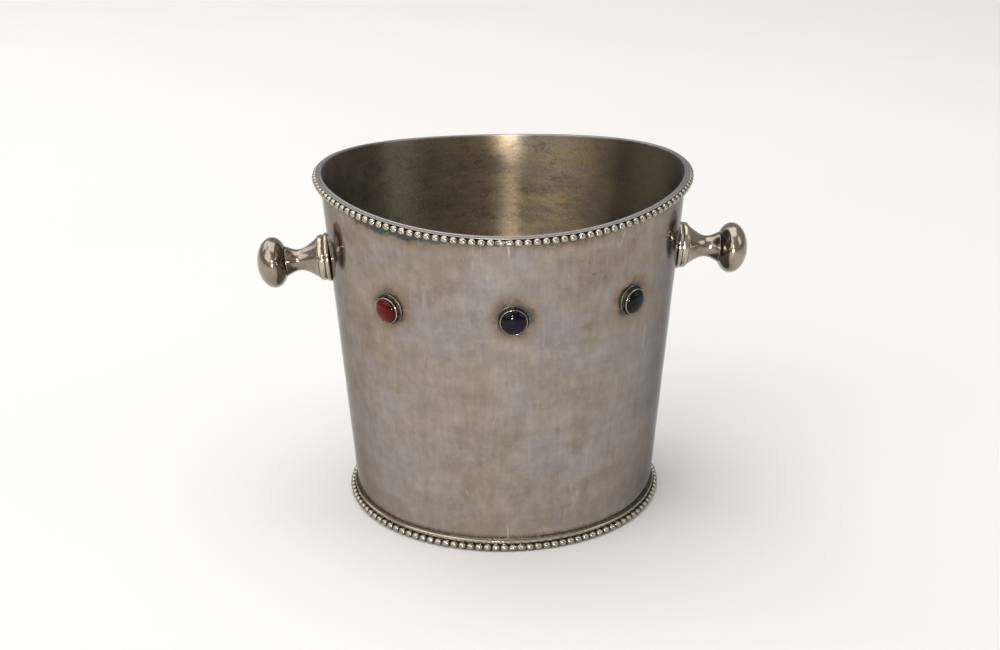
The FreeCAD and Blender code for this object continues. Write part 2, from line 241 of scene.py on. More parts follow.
WARM_GREY = (0.312, 0.270, 0.238)
COOL_GREY = (0.300, 0.275, 0.266)
OLIVE_GREY = (0.284, 0.240, 0.200)
BROWN_GREY = (0.245, 0.198, 0.160)
# colour of the painted shade on the wall's right side
RIGHT_SHADE_GREY = (0.180, 0.160, 0.150)
GREEN_TARNISH = (0.060, 0.070, 0.066)
BROWN_TARNISH = (0.100, 0.068, 0.042)
STRAW_TARNISH = (0.215, 0.158, 0.105)
# lighter silver of the scratches, and of the painted highlight at the seam's ends
SCRATCH_AND_HIGHLIGHT_SILVER = (0.620, 0.580, 0.520)
# colour of the painted highlight along the wall's top edge
LIP_HIGHLIGHT = (0.470, 0.455, 0.440)
EDGE_TINT = (0.55, 0.54, 0.54, 1.0)           # how the tarnished wall reflects at a glancing angle
# colour of the painted shade at the wall's far right
DARK_BRINK = (0.120, 0.108, 0.104)            # the wall's far right
INSIDE_DARK, INSIDE_LIGHT = (0.200, 0.165, 0.128), (0.300, 0.250, 0.195)
INSIDE_GOLD = (0.355, 0.268, 0.158)
INSIDE_STAIN = (0.09, 0.07, 0.05)
INSIDE_FAR = (0.115, 0.093, 0.071)
POLISH_DARK, POLISH_LIGHT = (0.260, 0.222, 0.182), (0.335, 0.292, 0.247)
POLISH_SMOKE = (0.14, 0.105, 0.075)
# the next two colours: painted sheen on the handle's rings, and painted shade in its grooves
POLISH_BRIGHT = (0.560, 0.500, 0.390)
POLISH_HOLLOW = (0.035, 0.025, 0.016)
BRASS_DARK, BRASS_LIGHT, BRASS_SPOT = (0.36, 0.25, 0.10), (0.50, 0.37, 0.17), (0.10, 0.065, 0.03)


def scratches(n, size, turn, share):
    """Thin lines, 1 on a line and 0 elsewhere, running the way that `turn` points."""
    vector = n.scaled((1 / size, 1 / size, 0.045 / size), turn)
    cells = n.add("ShaderNodeTexNoise", {"Vector": vector, "Scale": 1.0, "Detail": 1.0, "Roughness": 0.4})
    line = n.math("ABSOLUTE", n.math("SUBTRACT", cells.outputs["Fac"], 0.5))
    line = n.math("SUBTRACT", 1.0, n.ramp(line, 0.0, 0.012))
    here = n.ramp(n.noise(0.022, 2.0), 0.62 - share, 0.66 - share)
    return n.math("MULTIPLY", line, here)


def lip_highlight(n):
    """1 on the wall's top edge, where a painted highlight lightens it."""
    uneven = n.spread(n.noise(0.004, 4.0, 0.6), 0.3, 0.7, -0.0003, 0.0003)
    lip_band = n.math("ADD", n.attribute("rim_gap"), uneven)
    return n.math("MULTIPLY", n.falling(lip_band, 0.0004 - RIM_TO_BEADS, 0.0012 - RIM_TO_BEADS), 0.85)


def wall_outside():
    """Lightly tarnished plate with painted shade that darkens it to the right, and stains round everything
    soldered to it.
    """
    n = Nodes("silver_wall_outside")
    cloud = n.noise(0.060, 3.0, 0.5, stretch=(1, 1, 0.6))
    colour = n.mix(n.ramp(cloud, 0.38, 0.62), OLIVE_GREY, WARM_GREY)
    cool = n.math("MULTIPLY", n.ramp(n.noise(0.040, 4.0, 0.6, turn=(0.4, 0.2, 0.9)), 0.44, 0.62), 0.85)
    colour = n.mix(cool, colour, COOL_GREY)
    brown = n.ramp(n.noise(0.030, 4.0, 0.62, turn=(0.9, 0.5, 0.1)), 0.52, 0.68)
    colour = n.mix(n.math("MULTIPLY", brown, 0.70), colour, BROWN_GREY)
    streaks = n.noise(0.0030, 3.0, 0.6, stretch=(1, 1, 0.05))
    colour = n.mix(1.0, colour, n.grey(n.spread(streaks, 0.3, 0.7, 0.94, 1.06)), "MULTIPLY")
    wipes = n.noise(0.011, 3.0, 0.6, stretch=(0.35, 0.35, 1.2), turn=(0.1, 0.25, 0.0))
    colour = n.mix(1.0, colour, n.grey(n.spread(wipes, 0.3, 0.7, 0.89, 1.11)), "MULTIPLY")
    mottle = n.noise(0.006, 5.0, 0.66, stretch=(1, 1, 0.6))
    colour = n.mix(1.0, colour, n.grey(n.spread(mottle, 0.3, 0.7, 0.86, 1.14)), "MULTIPLY")

    # painted shade: duller and darker to the right, darkest at the far right brink; painted light: a little
    # lighter near the foot
    uneven = n.spread(n.noise(0.030), 0.3, 0.7, -0.012, 0.012)
    right_shade = n.ramp(n.math("ADD", n.along("X"), uneven), 0.028, 0.088)
    right_shade = n.math("MULTIPLY", right_shade, n.spread(n.along("Z"), 0.130, 0.175, 0.40, 0.12))
    colour = n.mix(right_shade, colour, RIGHT_SHADE_GREY)
    brink = n.ramp(n.along("X"), 0.078, 0.102)
    colour = n.mix(n.math("MULTIPLY", brink, 0.40), colour, DARK_BRINK)
    colour = n.mix(1.0, colour, n.grey(n.spread(n.along("Z"), 0.010, 0.090, 1.14, 1.0)), "MULTIPLY")

    # brown specks in patches, most of them high on the right
    specks = n.ramp(n.noise(0.0024, 5.0, 0.72), 0.56, 0.66)
    patches = n.ramp(n.noise(0.026, 3.0, 0.6, turn=(1.2, 0.1, 0.3)), 0.50, 0.68)
    high = n.math("MULTIPLY", n.ramp(n.along("Z"), 0.125, 0.165), n.ramp(n.along("X"), 0.005, 0.030))
    patches = n.math("MULTIPLY", patches, n.spread(high, 0.0, 1.0, 0.35, 1.0))
    colour = n.mix(n.math("MULTIPLY", n.math("MULTIPLY", specks, patches), 0.75), colour, BROWN_TARNISH)

    # stains: straw further out and green close in, by the distance to stones, rim, foot and handles
    edge = n.spread(n.noise(0.010, 4.0, 0.6), 0.3, 0.7, -0.0022, 0.0022)
    fine = n.spread(n.noise(0.0026, 4.0, 0.65), 0.3, 0.7, -0.0010, 0.0010)
    near_stone = n.math("ADD", n.math("ADD", n.attribute("stone_gap"), edge), fine)
    colour = n.mix(n.math("MULTIPLY", n.falling(near_stone, 0.0008, 0.0100), 0.78), colour, STRAW_TARNISH)
    green = n.spread(n.noise(0.009, 3.0, 0.6), 0.38, 0.60, 0.40, 0.95)
    colour = n.mix(n.math("MULTIPLY", n.falling(near_stone, -0.0012, 0.0044), green), colour, GREEN_TARNISH)
    rim_gap = n.math("ADD", n.math("ADD", n.attribute("rim_gap"), edge), fine)
    stain = n.attribute("rim_stain")
    reach = n.spread(stain, 0.0, 1.0, 0.0008, 0.0058)
    near_rim = n.math("SUBTRACT", rim_gap, reach)
    below = n.ramp(n.attribute("rim_gap"), 0.0015 - RIM_TO_BEADS, 0.0022 - RIM_TO_BEADS)
    straw = n.math("MULTIPLY", n.falling(near_rim, -0.0005, 0.0050), below)
    colour = n.mix(n.math("MULTIPLY", straw, 0.55), colour, STRAW_TARNISH)
    green = n.math("MULTIPLY", n.falling(near_rim, -0.0030, 0.0010), n.spread(stain, 0.0, 1.0, 0.60, 0.92))
    green = n.math("MULTIPLY", green, below)
    colour = n.mix(green, colour, GREEN_TARNISH)
    foot_gap = n.math("ADD", n.attribute("foot_gap"), fine)
    colour = n.mix(n.math("MULTIPLY", n.falling(foot_gap, -0.001, 0.0030), 0.85), colour, BROWN_TARNISH)
    handle_gap = n.math("ADD", n.attribute("handle_gap"), fine)
    colour = n.mix(n.math("MULTIPLY", n.falling(handle_gap, -0.001, 0.0025), 0.8), colour, BROWN_TARNISH)

    # the wall's seam, with a painted highlight where it meets the rim and the foot, and thin scratches
    offset = n.spread(n.noise(0.006), 0.3, 0.7, 0.0022, 0.0034)
    seam = n.math("ABSOLUTE", n.math("ADD", n.along("X"), offset))
    seam = n.math("MULTIPLY", n.falling(seam, 0.0002, 0.0008), n.falling(n.along("Y"), -0.010, 0.0))
    upper_end = n.falling(n.attribute("rim_gap"), 0.003, 0.009)
    lower_end = n.falling(n.attribute("foot_gap"), 0.004, 0.011)
    ends = n.math("MAXIMUM", upper_end, lower_end)
    # painted highlight on the seam's ends by the rim and the foot
    colour = n.mix(n.math("MULTIPLY", n.math("MULTIPLY", seam, ends), 0.6), colour, SCRATCH_AND_HIGHLIGHT_SILVER)
    short_marks = scratches(n, 0.010, (0.0, 0.5, 0.3), 0.03)
    long_marks = scratches(n, 0.014, (1.0, -0.35, 0.2), 0.03)
    marks = n.math("ADD", short_marks, long_marks)
    colour = n.mix(n.math("MULTIPLY", marks, 0.17), colour, SCRATCH_AND_HIGHLIGHT_SILVER)

    rough = n.spread(n.noise(0.02, 4.0, 0.6), 0.3, 0.7, 0.12, 0.19)
    dull = n.math("MAXIMUM", n.falling(near_stone, -0.001, 0.004), n.falling(near_rim, -0.004, 0.001))
    rough = n.math("ADD", rough, n.math("MULTIPLY", dull, 0.25))
    # painted highlight along the wall's top edge
    colour = n.mix(lip_highlight(n), colour, LIP_HIGHLIGHT)
    grain = n.noise(0.00045, 3.0, 0.6, stretch=(1, 1, 0.10))
    normal = n.bump(grain, 0.10, 0.00006)
    normal = n.bump(n.noise(0.018, 2.0, 0.5), 0.25, 0.00035, normal)
    return n.set(Base_Color=colour, Roughness=rough, Normal=normal, Metallic=1.0, Specular_Tint=EDGE_TINT)


def wall_inside():
    """Plate brushed round the bucket, with painted light that makes it lighter and more golden to the right,
    and dark at the far right.
    """
    n = Nodes("silver_wall_inside")
    cloud = n.noise(0.050, 4.0, 0.6)
    colour = n.mix(n.ramp(cloud, 0.35, 0.68), INSIDE_DARK, INSIDE_LIGHT)
    golden = n.ramp(n.noise(0.020, 5.0, 0.70, stretch=(0.45, 0.45, 1.2)), 0.42, 0.62)
    # painted light: lighter and more golden to the right, where the key light falls inside the bucket
    uneven = n.spread(n.noise(0.03), 0.3, 0.7, -0.01, 0.01)
    painted_light_right = n.ramp(n.math("ADD", n.along("X"), uneven), -0.045, 0.035)
    colour = n.mix(n.math("MULTIPLY", golden, n.spread(painted_light_right, 0.0, 1.0, 0.25, 0.90)), colour, INSIDE_GOLD)
    colour = n.mix(1.0, colour, n.grey(n.spread(painted_light_right, 0.0, 1.0, 0.92, 1.22)), "MULTIPLY")
    wipes = n.noise(0.0030, 4.0, 0.65, stretch=(0.10, 0.10, 1), turn=(0.05, 0.03, 0))
    colour = n.mix(1.0, colour, n.grey(n.spread(wipes, 0.3, 0.7, 0.92, 1.07)), "MULTIPLY")
    speckle = n.noise(0.0010, 4.0, 0.7)
    colour = n.mix(1.0, colour, n.grey(n.spread(speckle, 0.3, 0.7, 0.72, 1.30)), "MULTIPLY")
    stains = n.ramp(n.noise(0.010, 5.0, 0.75, stretch=(0.7, 0.7, 1.3)), 0.50, 0.68)
    colour = n.mix(n.math("MULTIPLY", stains, 0.50), colour, INSIDE_STAIN)
    far = n.ramp(n.along("X"), 0.034, 0.080)
    colour = n.mix(n.math("MULTIPLY", far, 0.82), colour, INSIDE_FAR)
    colour = n.mix(1.0, colour, n.grey(n.spread(n.along("Z"), 0.090, 0.160, 1.30, 1.0)), "MULTIPLY")
    # painted highlight along the wall's top edge
    colour = n.mix(lip_highlight(n), colour, LIP_HIGHLIGHT)
    grain = n.noise(0.00035, 3.0, 0.7, stretch=(0.06, 0.06, 1))
    pits = n.noise(0.0012, 3.0, 0.7)
    normal = n.bump(grain, 0.25, 0.00008)
    normal = n.bump(pits, 0.30, 0.00012, normal)
    rough = n.spread(n.noise(0.012, 4.0, 0.6), 0.3, 0.7, 0.38, 0.48)
    tangent = n.add("ShaderNodeTangent", direction_type="RADIAL", axis="Z").outputs["Tangent"]
    return n.set(Base_Color=colour, Roughness=rough, Normal=normal, Metallic=1.0, Anisotropic=1.0,
                 Anisotropic_Rotation=0.25, Tangent=tangent)


def trim_silver(name, bright, dark, rough_low, rough_high):
    """Silver plate with brown tarnish and then painted shade where the attribute `hollow` rises to 1."""
    n = Nodes(name)
    cloud = n.ramp(n.noise(0.02, 3.0, 0.6), 0.35, 0.65)
    colour = n.mix(cloud, tuple(0.88 * c for c in bright), bright)
    fine = n.noise(0.0012, 4.0, 0.65)
    colour = n.mix(1.0, colour, n.grey(n.spread(fine, 0.3, 0.7, 0.86, 1.08)), "MULTIPLY")
    edge = n.spread(n.noise(0.0016, 4.0, 0.6), 0.3, 0.7, -0.16, 0.16)
    depth = n.math("ADD", n.attribute("hollow"), edge)
    # brown tarnish part way into the hollows, then painted shade, near black, at their deepest
    colour = n.mix(n.math("MULTIPLY", n.ramp(depth, 0.25, 0.62), 0.65), colour, BROWN_TARNISH)
    colour = n.mix(n.ramp(depth, 0.55, 0.98), colour, dark)
    rough = n.spread(n.noise(0.003, 4.0, 0.6), 0.3, 0.7, rough_low, rough_high)
    rough = n.math("ADD", rough, n.math("MULTIPLY", n.ramp(depth, 0.4, 0.9), 0.4), clamp=True)
    normal = n.bump(n.noise(0.0007, 3.0, 0.6), 0.25, 0.00005)
    return n.set(Base_Color=colour, Roughness=rough, Normal=normal, Metallic=1.0)


def polished_silver():
    """Smoky polished plate; `bright` adds a painted sheen to some pieces and `hollow` paints shade into dark
    grooves.
    """
    n = Nodes("silver_polished")
    cloud = n.ramp(n.noise(0.012, 3.0, 0.6), 0.35, 0.65)
    colour = n.mix(cloud, POLISH_DARK, POLISH_LIGHT)
    smoke = n.ramp(n.noise(0.0035, 5.0, 0.68), 0.50, 0.68)
    colour = n.mix(n.math("MULTIPLY", smoke, 0.35), colour, POLISH_SMOKE)
    # painted sheen on the flange and collar rings
    colour = n.mix(n.attribute("bright"), colour, POLISH_BRIGHT)
    edge = n.spread(n.noise(0.002, 3.0, 0.6), 0.3, 0.7, -0.2, 0.2)
    depth = n.math("ADD", n.attribute("hollow"), edge)
    # painted shade in the grooves and joins
    colour = n.mix(n.ramp(depth, 0.35, 0.85), colour, POLISH_HOLLOW)
    rough = n.spread(n.noise(0.006, 4.0, 0.6), 0.3, 0.7, 0.13, 0.21)
    rough = n.math("ADD", rough, n.math("MULTIPLY", n.ramp(depth, 0.3, 0.9), 0.4), clamp=True)
    hair = n.noise(0.0006, 2.0, 0.6, stretch=(0.08, 1, 1), turn=(0.3, 0.1, 0.5))
    normal = n.bump(hair, 0.08, 0.00004)
    normal = n.bump(n.noise(0.006, 2.0, 0.5), 0.12, 0.00012, normal)
    return n.set(Base_Color=colour, Roughness=rough, Normal=normal, Metallic=1.0)


def brass():
    n = Nodes("brass")
    cloud = n.ramp(n.noise(0.006, 4.0, 0.6), 0.35, 0.65)
    colour = n.mix(cloud, BRASS_DARK, BRASS_LIGHT)
    spots = n.ramp(n.noise(0.0018, 4.0, 0.7), 0.55, 0.7)
    colour = n.mix(n.math("MULTIPLY", spots, 0.5), colour, BRASS_SPOT)
    rough = n.spread(n.noise(0.002, 4.0, 0.6), 0.3, 0.7, 0.25, 0.45)
    return n.set(Base_Color=colour, Roughness=rough, Metallic=1.0,
                 Normal=n.bump(n.noise(0.0006, 3.0, 0.6), 0.3, 0.00006))


def gem(name, deep, bright, vein_size):
    """Polished opaque stone with soft clouds under its surface."""
    n = Nodes(name)
    cloud = n.ramp(n.noise(vein_size, 4.0, 0.6, distortion=0.6), 0.35, 0.70)
    colour = n.mix(cloud, deep, bright)
    veins = n.ramp(n.noise(vein_size * 0.35, 5.0, 0.7, distortion=1.2), 0.56, 0.74)
    colour = n.mix(n.math("MULTIPLY", veins, 0.35), colour, tuple(1.8 * c for c in bright))
    # painted shade on the stone towards its girdle
    edge = n.attribute("hollow")
    colour = n.mix(n.math("MULTIPLY", edge, 0.75), colour, tuple(0.25 * c for c in deep))
    rough = n.spread(n.noise(0.004, 3.0, 0.6), 0.3, 0.7, 0.04, 0.07)
    return n.set(Base_Color=colour, Roughness=rough, IOR=1.54, Specular_IOR_Level=0.16,
                 Normal=n.bump(n.noise(0.0035, 2.0, 0.5), 0.06, 0.0001))


# ---------------------------------------------------------------- places of the fittings

def flat_end(node, near):
    """Centre and normal of a node's largest flat face that looks the way `near` does."""
    found = {}
    for face in NODES[node].data.polygons:
        if face.normal.dot(near.normalized()) > 0.5:
            key = tuple(round(c, 3) for c in face.normal)
            total = found.setdefault(key, [0.0, Vector((0, 0, 0)), Vector((0, 0, 0))])
            total[0] += face.area
            total[1] += face.area * face.center
            total[2] += face.area * face.normal
    area, middle, normal = max(found.values(), key=lambda total: total[0])
    return middle / area, normal.normalized()


def along_axis(node, origin, axis):
    """Every vertex of a node as (distance along an axis, distance from it)."""
    places = np.array([v.co for v in NODES[node].data.vertices]) - np.array(origin)
    along = places @ np.array(axis)
    return along, np.linalg.norm(places - np.outer(along, np.array(axis)), axis=1)


def handle_axis(side, sign):
    """Where a handle's axis leaves the wall, and its direction."""
    end, axis = flat_end(f"{side}_handle_stud", Vector((sign, 0, 0)))
    a = half_axes(0)[0]
    growth = OUTER[0][1]
    reach = (sign * end.x - a - growth * end.z) / (sign * axis.x - growth * axis.z)
    return end - axis * reach, axis


HANDLES = {side: handle_axis(side, sign) for side, sign in (("left", -1), ("right", 1))}


def stone_seat(name):
    """Centre of a stone's flat back and the direction out of the wall."""
    centre = centre_of(f"{name}_stone")
    middle, inward = flat_end(f"{name}_stone", Vector((-centre.x, -centre.y, 0)))
    return middle, -inward


SEATS = {name: stone_seat(name) for name in STONES}
COLLET_RADIUS = max(along_axis("front_left_collet", *SEATS["front_left"])[1])
FLANGE_RADIUS = max(along_axis("left_handle_flange", *HANDLES["left"])[1])
FOOT_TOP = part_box("foot_ring")[1].z
BEAD_RADIUS = BEAD_WIDTH / 2
RIM_BEAD_DOWN = rim_height(0) + BEAD_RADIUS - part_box("rim_bead_wire")[1].z
RIM_BEAD_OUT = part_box("rim_bead_wire")[1].x - BEAD_RADIUS - half_axes(rim_height(0))[0]
FOOT_BEAD_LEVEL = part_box("foot_bead_wire")[0].z + BEAD_RADIUS
FOOT_BEAD_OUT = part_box("foot_bead_wire")[1].x - BEAD_RADIUS - half_axes(0)[0]


# ---------------------------------------------------------------- wall

LIP_ROUND = 0.45 * MM
WALL_COLUMNS = 384
OUTSIDE_ROWS = 96
INSIDE_ROWS = 84
LIP_STEPS = 6
WAVE = 0.11 * MM             # how far the hand-finished wall strays from its true oval
WAVE_SIZE = 38 * MM
CALM = 7 * MM                # the waves fade this near to whatever is soldered or bolted to the wall
STAIN_LIFT = 0.9 * MM        # the tarnish round a stone reaches this much further above it


def wall_gaps(place, angle):
    """Distances from a place on the wall to the rim beads, the foot ring, a collet and a handle."""
    stone = min((place - middle - UP * STAIN_LIFT).length for middle, _ in SEATS.values()) - COLLET_RADIUS
    handle = min((place - origin).length for origin, _ in HANDLES.values()) - FLANGE_RADIUS
    rim = rim_height(angle) - RIM_BEAD_DOWN - BEAD_RADIUS - place.z
    return rim, place.z - FOOT_TOP, stone, handle


def rim_stain(angle):
    """How strong the tarnish under the rim's beads is: strongest at the front's left."""
    degrees = math.degrees(angle) % 360
    front_left = smooth_step((degrees - 206) / 20) * smooth_step((259 - degrees) / 22)
    streaks = 0.22 * (1 + math.sin(5.3 * angle + 1.0) * math.sin(11.7 * angle))
    return float(max(front_left, streaks))


def wall_section(angle):
    """One upright section of the wall as (height, inset, is inside), outside up and inside down."""
    top, bottom = rim_height(angle), WALL_LOW.z
    section = []
    for i in range(OUTSIDE_ROWS):
        section.append((bottom + (top - LIP_ROUND - bottom) * i / (OUTSIDE_ROWS - 1), 0.0, 0))
    for edge in (0, 1):
        for i in range(1, LIP_STEPS + 1):
            turn = math.pi / 2 * (i / LIP_STEPS if edge == 0 else 1 - i / LIP_STEPS)
            inset = LIP_ROUND * (1 - math.cos(turn))
            height = top - LIP_ROUND * (1 - math.sin(turn))
            section.append((height, inset if edge == 0 else WALL - inset, 1 if edge else 0))
    for i in range(1, INSIDE_ROWS):
        section.append((bottom + (top - LIP_ROUND - bottom) * (1 - i / (INSIDE_ROWS - 1)), WALL, 1))
    return section


inside_silver = wall_inside()


def build_wall():
    """The wall as one closed mesh: outer face, rounded lip, inner face and lower edge."""
    columns, gaps, inner, stains = [], [], [], []
    for j in range(WALL_COLUMNS):
        angle = 2 * math.pi * j / WALL_COLUMNS
        column = []
        for height, inset, inside in wall_section(angle):
            place, outward = wall_place(angle, height, inset)
            gap = wall_gaps(place, angle)
            calm = smooth_step(min(gap) / CALM)
            wave = noise.noise(place / WAVE_SIZE) + 0.4 * noise.noise(place / (0.4 * WAVE_SIZE))
            column.append(place + outward * float(WAVE * calm * wave))
            gaps.append(gap)
            inner.append(inside)
            stains.append(rim_stain(angle))
        columns.append(column)
    vertices, faces = ring_grid(columns)
    mesh = bpy.data.meshes.new("bucket_wall")
    mesh.from_pydata(vertices, [], faces)
    for name, values in zip(("rim_gap", "foot_gap", "stone_gap", "handle_gap"), zip(*gaps)):
        add_attribute(mesh, name, values)
    add_attribute(mesh, "rim_stain", stains)
    inner = np.array(inner)
    mesh.materials.append(wall_outside())
    mesh.materials.append(inside_silver)
    for face in mesh.polygons:
        face.material_index = int(all(inner[v] for v in face.vertices))
    return finish_piece("bucket_wall", mesh, "silver_satin", "body_wall")


def finish_piece(name, mesh, slot, *nodes):
    """Puts a mesh in the scene as a smooth piece that stands for CAD nodes."""
    mesh.validate()
    work = bmesh.new()
    work.from_mesh(mesh)
    bmesh.ops.recalc_face_normals(work, faces=work.faces)
    work.to_mesh(mesh)
    work.free()
    mesh.shade_smooth()
    piece = bpy.data.objects.new(name, mesh)
    bpy.context.scene.collection.objects.link(piece)
    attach(piece, "root")
    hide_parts(*nodes)
    return piece


build_wall()

# ---------------------------------------------------------------- rings round the oval

RING_COLUMNS = 480


def build_ring(name, profile, place_at, material, slot, *nodes):
    """Sweeps (outward, up, hollow) points round the oval; place_at(angle) gives its start and direction."""
    columns, hollow = [], []
    for j in range(RING_COLUMNS):
        start, outward = place_at(2 * math.pi * j / RING_COLUMNS)
        columns.append([start + outward * out + UP * up for out, up, _ in profile])
        hollow += [h for _, _, h in profile]
    vertices, faces = ring_grid(columns)
    mesh = bpy.data.meshes.new(name)
    mesh.from_pydata(vertices, [], faces)
    add_attribute(mesh, "hollow", hollow)
    mesh.materials.append(material)
    return finish_piece(name, mesh, slot, *nodes)


def rounded(points, radius, steps=4):
    """A closed outline of (x, y, hollow) points with its corners rounded."""
    result = []
    count = len(points)
    for i, (x, y, hollow) in enumerate(points):
        here = Vector((x, y))
        before = Vector(points[i - 1][:2]) - here
        after = Vector(points[(i + 1) % count][:2]) - here
        cut = min(radius, before.length * 0.45, after.length * 0.45)
        first, last = here + before.normalized() * cut, here + after.normalized() * cut
        for k in range(steps + 1):
            t = k / steps
            spot = first * (1 - t) ** 2 + here * 2 * t * (1 - t) + last * t ** 2
            result.append((spot.x, spot.y, hollow))
    return result


def rim_start(down):
    """A line on the wall's face, `down` from its top edge."""
    def place_at(angle):
        place, outward = wall_place(angle, rim_height(angle))
        return Vector((place.x, place.y, rim_height(angle) - down)), outward
    return place_at


def foot_start(angle):
    """The wall's face at the foot, and the level direction out of it."""
    return wall_place(angle, 0.0)


# each second colour is the painted shade in the hollows
trim = trim_silver("silver_trim", (0.46, 0.420, 0.362), (0.050, 0.037, 0.026), 0.12, 0.22)
band = trim_silver("silver_band", (0.38, 0.370, 0.360), (0.030, 0.026, 0.022), 0.28, 0.38)

MOULDING_DROP = rim_height(0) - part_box("rim_moulding")[1].z
FLANGE_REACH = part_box("rim_moulding")[1].x - half_axes(rim_height(0))[0]
MOULDING_HEIGHT = 4.8 * MM
FLANGE_FALL = 0.25 * MM
FLANGE_THICKNESS = 0.4 * MM
MOULDING_LEG = 0.5 * MM

# the third number of each point is `hollow`: painted shade under the flange and on the leg behind the beads
build_ring("rim_band", rounded([
    (-0.02 * MM, 0, 0.35),
    (0.3 * MM, 0, 0.0),
    (FLANGE_REACH, -FLANGE_FALL, 0.0),
    (FLANGE_REACH, -FLANGE_FALL - FLANGE_THICKNESS, 0.35),
    (MOULDING_LEG, -FLANGE_FALL - FLANGE_THICKNESS, 1.0),
    (MOULDING_LEG, -MOULDING_HEIGHT, 0.9),
    (-0.02 * MM, -MOULDING_HEIGHT, 1.0),
], 0.16 * MM), rim_start(MOULDING_DROP), band, "silver_trim", "rim_moulding")

FOOT_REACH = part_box("foot_ring")[1].x - half_axes(0)[0]
FOOT_LEG = touch("foot_ring", (0.5, 0.0, 2 * MM), (-1, 0, 0)).x - half_axes(0)[0]
FOOT_LEAN = half_axes(FOOT_TOP)[0] - half_axes(0)[0]
LIP_TOP, LIP_BOTTOM, LIP_WIDTH = 6.3 * MM, 4.25 * MM, 1.1 * MM

# the third number of each point is `hollow`: painted shade under the lip, in the groove by the wall and on
# the leg behind the beads
build_ring("foot_band", rounded([
    (FOOT_LEG, 0, 0.7),
    (FOOT_LEG, LIP_BOTTOM, 0.9),
    (FOOT_REACH, LIP_BOTTOM, 0.35),
    (FOOT_REACH, LIP_TOP - 0.42 * MM, 0.15),
    (FOOT_REACH - 0.45 * MM, LIP_TOP, 0.0),
    (FOOT_REACH - LIP_WIDTH, LIP_TOP - 0.45 * MM, 0.65),
    (FOOT_REACH - LIP_WIDTH - 0.12 * MM, LIP_TOP - 0.52 * MM, 0.95),
    (FOOT_LEAN + 0.42 * MM, LIP_TOP - 0.18 * MM, 0.45),
    (FOOT_LEAN + 0.26 * MM, FOOT_TOP - 0.62 * MM, 0.85),
    (FOOT_LEAN + 0.02 * MM, FOOT_TOP, 0.95),
    (-0.02 * MM, FOOT_TOP - 1.0 * MM, 0.95),
    (-0.02 * MM, 0, 0.9),
], 0.10 * MM), foot_start, trim, "silver_trim", "foot_ring")

# ---------------------------------------------------------------- bead wires

BEAD_PITCH = 5.07 * MM
CORE_RADIUS = 1.05 * MM
BEAD_FULLNESS = 1.04         # a bead's half length is half the pitch divided by this
BEAD_SHIFT = 0.03 * MM       # how far a bead may stand off the wire's line
SPOILT_LEAST = 0.60          # least radius at the joint, as a share of a bead's
BEAD_ALONG = 18              # rings of vertices for each bead
BEAD_AROUND = 18
PATH_STEPS = 7200            # straight steps that measure a wire's length


def even_places(place_at, count):
    """Places at an even spacing along a closed path, with the path's outward direction."""
    angles = [2 * math.pi * i / PATH_STEPS for i in range(PATH_STEPS + 1)]
    line = np.array([place_at(angle)[0] for angle in angles])
    lengths = np.concatenate(([0], np.cumsum(np.linalg.norm(np.diff(line, axis=0), axis=1))))
    wanted = np.arange(count) * lengths[-1] / count
    return lengths[-1], [place_at(float(angle)) for angle in np.interp(wanted, lengths, angles)]


def build_bead_wire(name, place_at, node, joint_angle, power):
    """One long wire whose radius swells at each bead; each bead differs a little.

    A higher power makes fuller, barrel-like beads. Solder spoils the two beads at the joint.
    """
    length, _ = even_places(place_at, 4)
    count = round(length / BEAD_PITCH)
    _, rings = even_places(place_at, count * BEAD_ALONG)
    swell = RNG.normal(1.0, 0.015, count)
    push = np.clip(RNG.normal(0, BEAD_SHIFT, (count, 2)), -BEAD_SHIFT, BEAD_SHIFT)
    joint = round((joint_angle % (2 * math.pi)) / (2 * math.pi) * count)
    columns, hollow = [], []
    for i, (middle, outward) in enumerate(rings):
        bead = ((i + BEAD_ALONG // 2) // BEAD_ALONG) % count
        step = ((i + BEAD_ALONG // 2) % BEAD_ALONG / BEAD_ALONG - 0.5) * 2
        radius = min(BEAD_RADIUS * swell[bead], BEAD_RADIUS)
        full = 0.985 * radius
        profile = full * max(1 - abs(step * BEAD_FULLNESS) ** power, 0.0) ** (1 / power)
        profile = max(profile, CORE_RADIUS)
        # `depth` paints shade into the gaps between beads, with brown tarnish part way in
        depth = 1 - (profile - CORE_RADIUS) / (full - CORE_RADIUS)
        depth = smooth_step((depth - 0.34) / 0.60)
        spoilt = bead in (joint, joint - 1)
        column = []
        for k in range(BEAD_AROUND):
            turn = 2 * math.pi * k / BEAD_AROUND
            out, up = math.cos(turn), math.sin(turn)
            radius_here, deep = profile, depth
            if spoilt:
                lump = noise.noise(Vector((4.0 * step + 7.0 * bead, 1.6 * out, 1.6 * up)))
                radius_here = min(max(0.92 * profile, SPOILT_LEAST * full) * (1 + 0.45 * lump), full)
                # painted shade in the pits of the solder lumps
                deep = 0.55 * depth + smooth_step(-1.8 * lump - 0.1)
            level, upright = radius_here * out + push[bead][0], radius_here * up + push[bead][1]
            column.append(middle + outward * level + UP * upright)
            # painted shade on each bead's side facing the wall and on its underside
            inward = smooth_step((-0.25 - out) / 0.6)
            beneath = smooth_step((-0.20 - up) / 0.75)
            hollow.append(float(min(max(deep, 0.9 * inward, 0.62 * beneath), 1.0)))
        columns.append(column)
    vertices, faces = ring_grid(columns)
    mesh = bpy.data.meshes.new(name)
    mesh.from_pydata(vertices, [], faces)
    add_attribute(mesh, "hollow", hollow)
    mesh.materials.append(trim)
    return finish_piece(name, mesh, "silver_trim", node)


